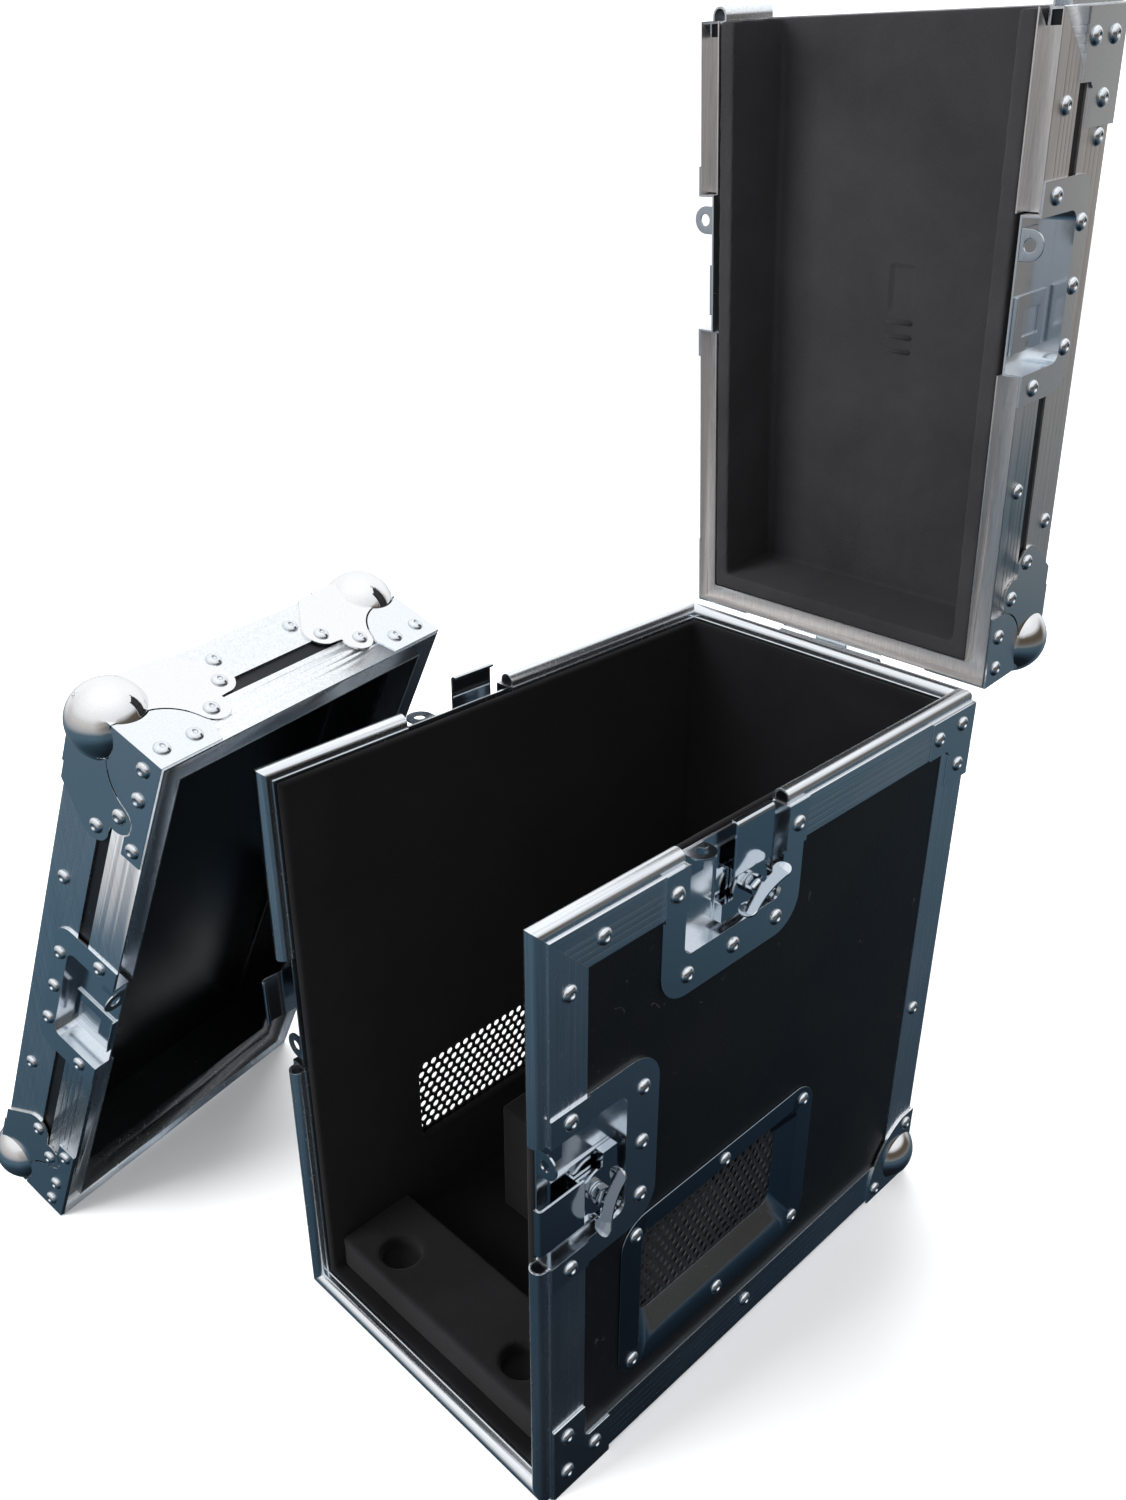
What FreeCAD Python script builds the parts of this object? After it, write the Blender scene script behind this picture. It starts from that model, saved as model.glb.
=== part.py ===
import FreeCAD, Part
import math
import os

# A small plywood flight case: upright body open at the top and the front, hinged top lid standing open,
# and a loose front cover leaning on the left side. Millimetres, +Z up, +Y to the back, +X to the right.
# The origin is at the middle of the body's underside.

V = FreeCAD.Vector

# ---------------------------------------------------------------- driving dimensions
CASE_W = 220.0
CASE_D = 356.0
CASE_H = 374.0          # height of the body up to its rim
LID_H = 64.0
COVER_D = 65.0
RIM_GAP = 0.4           # between a rim and the rim that closes on it
SKIN = 1.5              # extrusion wall
PLY = 9.0
SHEET = 1.2             # pressed steel plates
FLANGE = 25.0           # rim extrusions, outer flange
ANGLE = 31.0            # edge angles
FOAM = 6.0
LID_FOAM = 10.0         # what the lid's side foam stands in beyond the rim
LID_OPEN_DEG = 86.0
COVER_YAW_DEG = -12.5
COVER_LEAN_DEG = 24.3
COVER_FOOT = V(-277.0, -275.0, 0.0)   # near lower rim corner of the leaning cover
FLOOR_GAP = 0.2

# rim extrusions
RIM_IN = 12.0           # male rim, overall width
BEAD_FROM = 1.2
BEAD_TO = 11.2
BEAD_SIDE = 2.2         # straight part of the bead before its round top
BEAD_WALL = 1.2
INNER_FLANGE = 12.0
GROOVE_FROM = 0.9
GROOVE_TO = 12.6
GROOVE_DEEP = 8.2
GROOVE_FLOOR = 9.4
GROOVE_IN = 13.5        # female rim, overall width

# latches
LATCH_Y = -46.0         # middle of the top latches
LATCH_Z = (CASE_H + LID_H) / 2.0
DISH_HALF = 56.0
DISH_DEEP = 78.0
KEEPER_DISH_DEEP = 50.0
RECESS_HALF = 39.0
RECESS_DEEP = 54.0
KEEPER_RECESS_DEEP = 38.0
RECESS_FLOOR = 9.2      # depth of the dish floor's face inside the outer skin
RAIL_GAP = RECESS_HALF + SHEET + 0.5
PAN_ROOM = SHEET + 0.1  # what a panel is cut back round a pan
MECH_W = 15.0           # the mechanism sits this far to one side of the dish's middle
SPINDLE_V = -36.0
THROW = 12.0            # hook travel for half a turn
CAM_R = THROW / 2.0
WING_HALF = 19.0
WING_DEEP = 11.0
WING_THICK = 1.2
EYE_W = 26.0
FRAME_HALF = 22.6       # half width of a latch's base plate and housing
FRAME_FOOT = -50.5
HOUSING_OUT = 3.2       # the housing's outer and inner faces
HOUSING_IN = 4.4
HOUSING_RIM = -27.5
BASE_RIM = -8.0
HOOK_OUT = 2.0          # the hook's outer plate, its thickness and half width
HOOK_THICK = 1.4
HOOK_HALF = 15.0
HOOK_IN = 6.2           # the hook's inner plate, which the cam drives
HOOK_INNER_HALF = 12.0
HOOK_STEP = -24.6
HOOK_BEND_V = 2.6
KEEPER_HALF = 15.0
LIP_OUT = 6.8           # the keeper's lip starts here, just clear of the claw

# vents
VENT_Y = -39.0
VENT_Z = 106.0
VENT_FLANGE = (172.0, 118.0)
VENT_MOUTH = (140.0, 90.0)
VENT_FLOOR = (120.0, 62.0)
MESH_SIZE = (144.0, 94.0)
MESH_PITCH = 7.0
MESH_HOLE_R = 2.4

# hinge
HINGE_Y = CASE_D / 2.0 + 6.6
HINGE_Z = CASE_H - 1.0
HINGE_HALF = 38.0
PIN_R = 2.0
KNUCKLE_R = 4.2

# corner pieces and rivets
BALL_R = 22.4
BALL_IN = 12.5
BALL_AXIS = V(0.3, 0.5, -0.81)   # turns a ball's seam and poles off the cuts
RIVET_R = 4.7
RIVET_H = 2.2

# ---------------------------------------------------------------- worked-out values
HW = CASE_W / 2.0
HD = CASE_D / 2.0
LID_Z = CASE_H + RIM_GAP
LID_TOP = LID_Z + LID_H
COVER_Y = -HD - RIM_GAP
COVER_H = LID_TOP
PLY_IN = SKIN + PLY
LINING_IN = RIM_IN + FOAM
X, Y, Z = V(1, 0, 0), V(0, 1, 0), V(0, 0, 1)

nodes = {}


def keep(name, shapes):
    """Store one node made of one or more separate solids."""
    solids = []
    for shape in shapes:
        solids.extend(shape.Solids)
    nodes[name] = Part.makeCompound(solids)


# ---------------------------------------------------------------- helpers
def block(low, high):
    """Box between two corners given as tuples."""
    size = [high[i] - low[i] for i in range(3)]
    return Part.makeBox(size[0], size[1], size[2], V(*low))


def cylinder(radius, start, end):
    """Round bar from one point to another."""
    axis = end.sub(start)
    return Part.makeCylinder(radius, axis.Length, start, axis)


def put(shape, origin, u, v):
    """Place a local (u, v, w) shape in the case: u inwards, v towards the rim, w = u x v."""
    w = u.cross(v)
    matrix = FreeCAD.Matrix(u.x, v.x, w.x, origin.x,
                            u.y, v.y, w.y, origin.y,
                            u.z, v.z, w.z, origin.z,
                            0, 0, 0, 1)
    placed = shape.copy()
    placed.transformShape(matrix, True)
    return placed


def put_point(point, origin, u, v):
    """The same placement for a single point."""
    w = u.cross(v)
    return origin + u * point[0] + v * point[1] + w * point[2]


def mirror_x(shape):
    """The left-hand copy of a right-hand shape."""
    return shape.mirror(V(0, 0, 0), X)


def face_from(points, plane="xy", level=0.0):
    """Flat face from 2-D points. A point may be followed by ('arc', via, end)."""
    def lift(p):
        if plane == "xy":
            return V(p[0], p[1], level)
        if plane == "yz":
            return V(level, p[0], p[1])
        return V(p[0], level, p[1])
    edges = []
    here = points[0]
    for item in points[1:] + [points[0]]:
        if item[0] == "arc":
            edges.append(Part.Arc(lift(here), lift(item[1]), lift(item[2])).toShape())
            here = item[2]
        elif math.dist(here, item) > 1e-6:
            edges.append(Part.makeLine(lift(here), lift(item)))
            here = item
    return Part.Face(Part.Wire(edges))


def round_rect(half_a, half_b, radius):
    """Points of a centred rectangle with rounded corners."""
    r = radius
    s = r * (1.0 - math.sqrt(0.5))
    a, b = half_a, half_b
    return [(a - r, -b), ("arc", (a - s, -b + s), (a, -b + r)),
            (a, b - r), ("arc", (a - s, b - s), (a - r, b)),
            (-a + r, b), ("arc", (-a + s, b - s), (-a, b - r)),
            (-a, -b + r), ("arc", (-a + s, -b + s), (-a + r, -b))]


def dish_outline(half, deep, radius):
    """(v, w) outline open towards the rim at v = 0, with its two far corners rounded."""
    r = radius
    s = r * (1.0 - math.sqrt(0.5))
    return [(0.0, -half), (-deep + r, -half), ("arc", (-deep + s, -half + s), (-deep, -half + r)),
            (-deep, half - r), ("arc", (-deep + s, half - s), (-deep + r, half)), (0.0, half)]


def plate(points, low, high):
    """Flat (v, w) outline given thickness along u."""
    return face_from(points, "yz", low).extrude(V(high - low, 0, 0))


# ---------------------------------------------------------------- extrusion profiles
RIBS = (-9.0, -13.0, -17.0, -21.0)
RIB_HALF = 0.4
RIB_DEEP = 0.12


def ribbed_edge(positions, from_v, to_v):
    """Outer face of a flange at u = 0 with shallow V grooves, from from_v up to to_v."""
    points = [(0.0, from_v)]
    for rib in sorted(positions):
        points.append((0.0, rib - RIB_HALF))
        points.append((RIB_DEEP, rib))
        points.append((0.0, rib + RIB_HALF))
    points.append((0.0, to_v))
    return points


def male_profile(beaded=True):
    """Rim extrusion with a hollow round bead on top, or the same section without the bead."""
    middle = (BEAD_FROM + BEAD_TO) / 2.0
    radius = (BEAD_TO - BEAD_FROM) / 2.0
    inner = radius - BEAD_WALL
    outline = ribbed_edge(RIBS, -FLANGE, -0.5)
    outline += [(0.5, 0.0)]
    if beaded:
        outline += [(BEAD_FROM, 0.0), (BEAD_FROM, BEAD_SIDE),
                    ("arc", (middle, BEAD_SIDE + radius), (BEAD_TO, BEAD_SIDE)), (BEAD_TO, 0.0)]
    outline += [(RIM_IN, 0.0), (RIM_IN, -INNER_FLANGE), (PLY_IN, -INNER_FLANGE),
                (PLY_IN, -SKIN), (SKIN, -SKIN), (SKIN, -FLANGE)]
    if not beaded:
        return face_from(outline)
    hollow = [(middle - inner, -0.3), (middle - inner, BEAD_SIDE),
              ("arc", (middle, BEAD_SIDE + inner), (middle + inner, BEAD_SIDE)), (middle + inner, -0.3)]
    return face_from(outline).cut(face_from(hollow))


def female_profile():
    """Rim extrusion with the groove that takes the bead."""
    outline = ribbed_edge(RIBS, -FLANGE, -0.4)
    outline += [(0.4, 0.0), (GROOVE_FROM, 0.0), (GROOVE_FROM, -GROOVE_DEEP), (GROOVE_TO, -GROOVE_DEEP),
                (GROOVE_TO, 0.0), (GROOVE_IN, 0.0), (GROOVE_IN, -GROOVE_FLOOR),
                (RIM_IN, -GROOVE_FLOOR), (RIM_IN, -17.0), (PLY_IN, -17.0), (PLY_IN, -GROOVE_FLOOR),
                (SKIN, -GROOVE_FLOOR), (SKIN, -FLANGE)]
    return face_from(outline)


def angle_profile():
    """Edge angle with ribbed flanges and a rounded outer corner."""
    r = 2.5
    s = r * (1.0 - math.sqrt(0.5))
    ribs = (8.0, 13.0, 18.0, 23.0)
    outline = [(r, 0.0)]
    for rib in ribs:
        outline += [(rib - RIB_HALF, 0.0), (rib, RIB_DEEP), (rib + RIB_HALF, 0.0)]
    outline += [(ANGLE, 0.0), (ANGLE, SKIN), (SKIN, SKIN), (SKIN, ANGLE), (0.0, ANGLE)]
    for rib in reversed(ribs):
        outline += [(0.0, rib + RIB_HALF), (RIB_DEEP, rib), (0.0, rib - RIB_HALF)]
    outline += [(0.0, r), ("arc", (s, s), (r, 0.0))]
    return face_from(outline)


MALE = male_profile()
PLAIN = male_profile(False)
FEMALE = female_profile()
CORNER_ANGLE = angle_profile()
REACH = 150.0


def end_cutter(kind, length, at_end):
    """What is cut off one end: 'wall' mitres to the rail round the corner of two walls,
    'rim' mitres to the next rim of the same wall."""
    def w_of(value):
        return length - value if at_end else value
    if kind == "wall":
        triangle = [(-REACH, w_of(-REACH)), (REACH, w_of(REACH)), (REACH, w_of(-REACH))]
        return face_from(triangle, "xz", -REACH).extrude(V(0, 2 * REACH, 0))
    if kind == "rim":
        triangle = [(-REACH, w_of(REACH)), (REACH, w_of(-REACH)), (-REACH, w_of(-REACH))]
        return face_from(triangle, "yz", -REACH).extrude(V(2 * REACH, 0, 0))
    low, high = sorted((w_of(0.0), w_of(-REACH)))
    return block((-REACH, -REACH, low), (REACH, REACH, high))


def rail(profile, length, start, end, gap=None):
    """Local rail along w from 0 to length. gap is the middle and half width cut out for a latch."""
    body = profile.translated(V(0, 0, -20.0)).extrude(V(0, 0, length + 40.0))
    body = body.cut(end_cutter(start, length, False))
    body = body.cut(end_cutter(end, length, True))
    if gap is not None:
        middle, half = gap
        body = body.cut(block((-5.0, -REACH, middle - half), (30.0, REACH, middle + half)))
    return body


# ---------------------------------------------------------------- pressed dishes
def side_strips(outline_half, deep, radius, recess_half, recess_deep, low, high):
    """Flat ring of a dish, open at the rim."""
    ring = plate(dish_outline(outline_half, deep, radius), low, high)
    return ring.cut(plate(dish_outline(recess_half, recess_deep, 6.0), low - 1.0, high + 1.0))


def pan(recess_deep, top):
    """The dish's pressed pan: walls and floor."""
    outer = plate(dish_outline(RECESS_HALF + SHEET, recess_deep + SHEET, 7.0), top, RECESS_FLOOR + SHEET)
    return outer.cut(plate(dish_outline(RECESS_HALF, recess_deep, 6.0), top - 1.0, RECESS_FLOOR))


def latch_dish():
    """Body dish: its flange steps from the rail's face down to the panel's face."""
    on_rail = side_strips(DISH_HALF, DISH_DEEP, 20.0, RECESS_HALF, RECESS_DEEP, -SHEET, 0.0)
    on_rail = on_rail.cut(block((-9, -REACH, -REACH), (9, -FLANGE - SHEET, REACH)))
    on_panel = side_strips(DISH_HALF, DISH_DEEP, 20.0, RECESS_HALF, RECESS_DEEP, SKIN - SHEET, SKIN)
    on_panel = on_panel.cut(block((-9, -FLANGE - 0.2, -REACH), (9, REACH, REACH)))
    step = block((-SHEET, -FLANGE - SHEET, -DISH_HALF), (SKIN, -FLANGE - 0.2, DISH_HALF))
    step = step.cut(block((-9, -REACH, -RECESS_HALF), (9, REACH, RECESS_HALF)))
    return on_rail.fuse([on_panel, step, pan(RECESS_DEEP, SKIN - SHEET), upper_pan_walls()]).removeSplitter()


def upper_pan_walls():
    """The pan's side walls between the panel's level and the rail's level."""
    walls = block((-SHEET, -FLANGE - SHEET, -RECESS_HALF - SHEET), (SKIN, 0.0, RECESS_HALF + SHEET))
    return walls.cut(block((-9, -REACH, -RECESS_HALF), (9, REACH, RECESS_HALF)))


def keeper_dish():
    """Lid and cover dish: one flat flange over the rim rail and the edge angle."""
    ring = side_strips(DISH_HALF, KEEPER_DISH_DEEP, 12.0, RECESS_HALF, KEEPER_RECESS_DEEP, -SHEET, 0.0)
    return ring.fuse(pan(KEEPER_RECESS_DEEP, -SHEET)).removeSplitter()


def padlock_eye(side):
    """Bent tab with a hole, standing on the dish floor at the rim."""
    w = -side * EYE_W
    tab = block((0.0, -1.4, w - 8.0), (RECESS_FLOOR, -0.3, w + 8.0))
    nose = cylinder(8.0, V(4.0, -1.4, w), V(4.0, -0.3, w))
    hole = cylinder(3.4, V(3.6, -3.0, w), V(3.6, 1.0, w))
    foot = block((RECESS_FLOOR - SHEET, -16.0, w - 8.0), (RECESS_FLOOR, -0.3, w + 8.0))
    upright = tab.cut(block((-9, -9, w - 20.0), (4.0, 9, w + 20.0))).fuse(nose)
    upright = upright.cut(block((RECESS_FLOOR, -9, w - 20.0), (30.0, 9, w + 20.0)))
    return upright.fuse(foot).cut(hole).removeSplitter()


def keeper(side):
    """Striker plate whose bent lip the hook pulls on."""
    w = side * MECH_W
    base = block((RECESS_FLOOR - SHEET, -34.0, w - KEEPER_HALF), (RECESS_FLOOR, -1.0, w + KEEPER_HALF))
    base = base.cut(block((0, -29.0, w - 7.0), (20.0, -12.0, w + 7.0)))
    lip = block((LIP_OUT, -1.0 - SHEET, w - KEEPER_HALF), (RECESS_FLOOR, -1.0, w + KEEPER_HALF))
    return base.fuse(lip).removeSplitter()


# ---------------------------------------------------------------- twist latch
def latch_frame(side):
    """Base plate with housing: two solids, and the padlock eye."""
    w = side * MECH_W
    base = block((RECESS_FLOOR - SHEET, FRAME_FOOT, w - FRAME_HALF), (RECESS_FLOOR, BASE_RIM, w + FRAME_HALF))
    cover = block((HOUSING_OUT, FRAME_FOOT, w - FRAME_HALF), (HOUSING_IN, HOUSING_RIM, w + FRAME_HALF))
    shoulder = cylinder(14.0, V(HOUSING_OUT, SPINDLE_V - 2.5, w), V(HOUSING_IN, SPINDLE_V - 2.5, w))
    corner_cuts = [block((0, -40.0, w + s * 23.0 - 12.0), (9, 0.0, w + s * 23.0 + 12.0)) for s in (-1, 1)]
    cover = cover.cut(corner_cuts).fuse(shoulder)
    cover = cover.cut(block((0, HOUSING_RIM, w - 40.0), (9, 0.0, w + 40.0)))
    leg = FRAME_HALF - SHEET / 2.0
    legs = [block((HOUSING_OUT, FRAME_FOOT, w + s * leg - SHEET / 2.0),
                  (RECESS_FLOOR - SHEET, -40.0, w + s * leg + SHEET / 2.0))
            for s in (-1, 1)]
    cover = cover.fuse(legs).cut(cylinder(4.05, V(0, SPINDLE_V, w), V(9, SPINDLE_V, w))).removeSplitter()
    return [base, cover, padlock_eye(side)]


def local_turn(shape, side, degrees):
    """Turn about the spindle's axis, seen from outside the case."""
    turned = shape.copy()
    turned.rotate(V(0, SPINDLE_V, side * MECH_W), V(-1, 0, 0), degrees)
    return turned


def spindle(side, cam_turn, head_turn):
    """Cam disc and pin under the housing, neck through it, slotted head with the wing's pivot pin."""
    w = side * MECH_W
    c = SPINDLE_V
    cam = [cylinder(8.5, V(4.6, c, w), V(5.9, c, w)),
           cylinder(2.0, V(5.8, c - CAM_R, w), V(7.8, c - CAM_R, w))]
    head = [cylinder(5.4, V(2.1, c, w), V(3.0, c, w)),
            cylinder(1.0, V(0, c, w - 5.0), V(0, c, w + 5.0))]
    for s in (-1, 1):
        head.append(block((-1.6, c - 2.2, w + s * 4.2 - 0.8), (2.2, c + 2.2, w + s * 4.2 + 0.8)))
    neck = cylinder(4.0, V(2.1, c, w), V(4.8, c, w))
    turned = [local_turn(piece, side, cam_turn) for piece in cam]
    turned += [local_turn(piece, side, head_turn) for piece in head]
    return neck.fuse(turned).removeSplitter()


def wing(side):
    """Butterfly wing, standing out at right angles to the wall."""
    w = side * MECH_W
    c = SPINDLE_V
    outline = [(0.6, -2.9), (3.4, -2.9), (3.4, -WING_HALF + 8.0),
               ("arc", (1.6, -WING_HALF + 3.0), (4.4, -WING_HALF)), (6.0, -WING_HALF),
               ("arc", (10.6, -WING_HALF + 1.8), (WING_DEEP, -WING_HALF + 6.5)),
               ("arc", (9.6, 0.0), (WING_DEEP, WING_HALF - 6.5)),
               ("arc", (10.6, WING_HALF - 1.8), (6.0, WING_HALF)), (4.4, WING_HALF),
               ("arc", (1.6, WING_HALF - 3.0), (3.4, WING_HALF - 8.0)), (3.4, 2.9), (0.6, 2.9)]
    blade = face_from([mirrored(p) for p in outline], "xz", c - WING_THICK / 2.0).extrude(V(0, WING_THICK, 0))
    blade.translate(V(0, 0, w))
    knuckle = cylinder(1.75, V(0, c, w - 2.9), V(0, c, w + 2.9))
    bore = cylinder(1.05, V(0, c, w - 9), V(0, c, w + 9))
    return blade.fuse(knuckle).cut(bore).removeSplitter()


def mirrored(item):
    """An outline item with its first coordinate negated."""
    if item[0] == "arc":
        return ("arc", (-item[1][0], item[1][1]), (-item[2][0], item[2][1]))
    return (-item[0], item[1])


def hook(side):
    """Sliding plate with the cam's slot, stepped outwards to the claw that holds the keeper."""
    w = side * MECH_W
    c = SPINDLE_V
    narrow = HOOK_INNER_HALF
    wide = HOOK_HALF
    foot = HOOK_STEP - HOOK_THICK
    inner = block((HOOK_IN, -47.0, w - narrow), (HOOK_IN + HOOK_THICK, HOOK_STEP, w + narrow))
    slot = block((0, c - CAM_R - 3.7, w - 8.5), (9, c - CAM_R + 3.7, w + 8.5))
    step = block((HOOK_OUT, foot, w - narrow), (HOOK_IN + HOOK_THICK, HOOK_STEP, w + narrow))
    outer = block((HOOK_OUT, foot, w - wide), (HOOK_OUT + HOOK_THICK, HOOK_BEND_V, w + wide))
    bend_r = 1.0 + HOOK_THICK
    turn = HOOK_OUT + bend_r
    bend_outer = cylinder(bend_r, V(turn, HOOK_BEND_V, w - wide), V(turn, HOOK_BEND_V, w + wide))
    bend_inner = cylinder(1.0, V(turn, HOOK_BEND_V, w - wide - 1.0), V(turn, HOOK_BEND_V, w + wide + 1.0))
    bend = bend_outer.cut([bend_inner, block((0, -9, w - 20), (9, HOOK_BEND_V, w + 20)),
                           block((turn, 0, w - 20), (9, 9, w + 20))])
    claw = block((turn, HOOK_BEND_V + 1.0, w - wide), (turn + 2.0, HOOK_BEND_V + bend_r, w + wide))
    return inner.cut(slot).fuse([step, outer, bend, claw]).removeSplitter()


# name, origin, u, v, side of the mechanism, spindle's turn at rest, hook raised at rest
TOP_RIGHT = (V(HW, LATCH_Y, CASE_H), -X, Z, 1)
TOP_LEFT = (V(-HW, LATCH_Y, CASE_H), X, Z, -1)
FRONT_RIGHT = (V(HW, -HD, LATCH_Z), -X, -Y, -1)
FRONT_LEFT = (V(-HW, -HD, LATCH_Z), X, -Y, -1)
LATCHES = {"top_right": (TOP_RIGHT, 24.0, False), "top_left": (TOP_LEFT, 12.0, True),
           "front_right": (FRONT_RIGHT, -20.0, False), "front_left": (FRONT_LEFT, -8.0, True)}


def make_latches():
    """Frames grouped by pair, and the moving pieces one node each."""
    dishes = {"top": [], "front": []}
    frames = []
    for name, ((origin, u, v, side), rest_turn, raised) in LATCHES.items():
        dishes[name.split("_")[0]].append(put(latch_dish(), origin, u, v))
        frames.extend(put(piece, origin, u, v) for piece in latch_frame(side))
        # the cam's turn is set by the hook, and the head with its wing stands a little askew of it
        cam_turn = 180.0 if raised else 0.0
        head_turn = cam_turn + rest_turn
        slider = hook(side).translated(V(0, THROW if raised else 0.0, 0))
        keep("latch_spindle_" + name, [put(spindle(side, cam_turn, head_turn), origin, u, v)])
        keep("latch_wing_" + name, [put(local_turn(wing(side), side, head_turn), origin, u, v)])
        keep("latch_hook_" + name, [put(slider, origin, u, v)])
    keep("latch_dishes_top", dishes["top"])
    keep("latch_dishes_front", dishes["front"])
    keep("latch_frames", frames)


# ---------------------------------------------------------------- corner pieces
BALL_OUTLINE = [(0.0, 0.0), (58.0, 0.0), (77.0, 21.0), ("arc", (79.0, 31.0), (70.5, 39.0)),
                (62.0, 39.5), ("arc", (55.0, 52.5), (43.0, 46.5)), ("arc", (30.0, 31.0), (12.0, 27.5)),
                (0.0, 27.0)]
TALL_OUTLINE = [(0.0, 0.0), (57.0, 0.0), (57.0, 13.0), ("arc", (42.0, 36.0), (14.0, 47.0)), (0.0, 47.0)]
ROUND_OUTLINE = [(0.0, 0.0), (46.0, 0.0), (46.0, 10.0), ("arc", (33.0, 33.0), (10.0, 46.0)), (0.0, 46.0)]
TRAY_BARS = (46.0, 46.0, 27.0)   # how far a tray's ball corner is folded along its three edges
TALL_BAR = 57.0


def corner_plate(outline, along, across, normal, corner):
    """Plate on one outer face: outline (along, across) from the corner, SHEET thick outwards."""
    return flat_plate(face_from(outline), along, across, normal, corner, SHEET)


def ball(corner, inward, centre_offset, case):
    """The part of a ball that stands outside the case's box."""
    centre = corner + V(inward.x * centre_offset[0], inward.y * centre_offset[1], inward.z * centre_offset[2])
    return Part.makeSphere(BALL_R, centre, BALL_AXIS).cut(case)


def tray_ball_corner(corner, long_a, long_b, depth, case):
    """Ball corner of a shallow tray: long_a and long_b run along the outer face, depth towards the rim."""
    inward = long_a + long_b + depth
    pieces = [corner_plate(BALL_OUTLINE, long_a, depth, -long_b, corner),
              corner_plate(BALL_OUTLINE, long_b, depth, -long_a, corner),
              corner_plate(ROUND_OUTLINE, long_a, long_b, -depth, corner),
              ball(corner, inward, (BALL_IN, BALL_IN, BALL_IN), case)]
    return join_edges(pieces, corner, TRAY_BARS, (long_a, long_b, depth))


def join_edges(pieces, corner, lengths, directions):
    """Small square bars along the three edges so that the plates meet round the corner."""
    bars = []
    for i in range(3):
        others = [directions[j] for j in range(3) if j != i]
        low = corner - others[0] * SHEET - others[1] * SHEET
        bars.append(spanning_block(low, corner + directions[i] * lengths[i]))
    return pieces[0].fuse(pieces[1:] + bars).removeSplitter()


def rim_bracket(corner, long_a, long_b, depth, rim, long_arm):
    """Plate round a tray's corner between the ball corner and the rim, with a seam between the two."""
    seam = 1.0
    foot = 20.0             # the blank starts under the ball corner's outline, which is then cut away
    edge_foot = TRAY_BARS[2] + seam
    short_outline = [(0.0, foot), (44.0, foot), (44.0, 52.0), (40.0, rim - 1.0), (0.0, rim - 1.0)]
    side_outline = [(0.0, foot), (44.0, foot), (44.0, 50.0), (long_arm, 50.0),
                    (long_arm, rim - 1.0), (0.0, rim - 1.0)]
    pieces = [corner_plate(short_outline, long_a, depth, -long_b, corner),
              corner_plate(side_outline, long_b, depth, -long_a, corner)]
    low = corner - long_a * SHEET - long_b * SHEET + depth * edge_foot
    bar = spanning_block(low, corner + depth * (rim - 1.0))
    bracket = pieces[0].fuse([pieces[1], bar])
    wide = face_from(BALL_OUTLINE).makeOffset2D(seam)
    inward = long_a + long_b + depth
    centre = corner + inward * BALL_IN
    inside = 2.0 * SHEET
    through = 6.0 * SHEET
    cuts = [flat_plate(wide, long_a, depth, -long_b, corner + long_b * inside, through),
            flat_plate(wide, long_b, depth, -long_a, corner + long_a * inside, through),
            Part.makeSphere(BALL_R + seam, centre)]
    return bracket.cut(cuts).removeSplitter()


def spanning_block(first, second):
    """Box between any two opposite corners."""
    low = tuple(min(a, b) for a, b in zip(first, second))
    high = tuple(max(a, b) for a, b in zip(first, second))
    return block(low, high)


def flat_plate(face, along, across, normal, corner, thick):
    """A flat outline face laid on an outer wall and given a thickness along the outward normal."""
    matrix = FreeCAD.Matrix(along.x, across.x, normal.x, corner.x,
                            along.y, across.y, normal.y, corner.y,
                            along.z, across.z, normal.z, corner.z,
                            0, 0, 0, 1)
    if along.cross(across).dot(normal) > 0:
        laid = face.copy()
        laid.transformShape(matrix, True)
        return laid.extrude(normal * thick)
    # a left-handed frame: lay the outline the right-handed way and mirror it back
    flipped = FreeCAD.Matrix(along.x, across.x, -normal.x, corner.x,
                             along.y, across.y, -normal.y, corner.y,
                             along.z, across.z, -normal.z, corner.z,
                             0, 0, 0, 1)
    laid = face.copy()
    laid.transformShape(flipped, True)
    return laid.extrude(normal * thick)


def l_plate(arm_a, arm_b, width_a, width_b):
    """Outline of a flat L: arm_a along the first axis with width_b, arm_b along the second with width_a."""
    return [(0.0, 0.0), (arm_a, 0.0), (arm_a, width_b), (width_a + 3.0, width_b),
            (width_a, width_b + 3.0), (width_a, arm_b), (0.0, arm_b)]


# ---------------------------------------------------------------- rivets
def rivet():
    """Domed head with a dimple, its flat side on z = 0."""
    profile = face_from([(0.0, 0.0), (RIVET_R, 0.0), (RIVET_R - 0.1, 0.5),
                         ("arc", (3.4, 1.75), (1.6, RIVET_H)), (1.2, RIVET_H - 0.9), (0.0, RIVET_H - 1.1)],
                        "xz")
    return profile.revolve(V(0, 0, 0), Z, 360)


RIVET = rivet()


def rivet_at(point, normal):
    """One rivet head standing on a surface."""
    head = RIVET.copy()
    head.Placement = FreeCAD.Placement(point, FreeCAD.Rotation(Z, normal))
    return head


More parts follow.
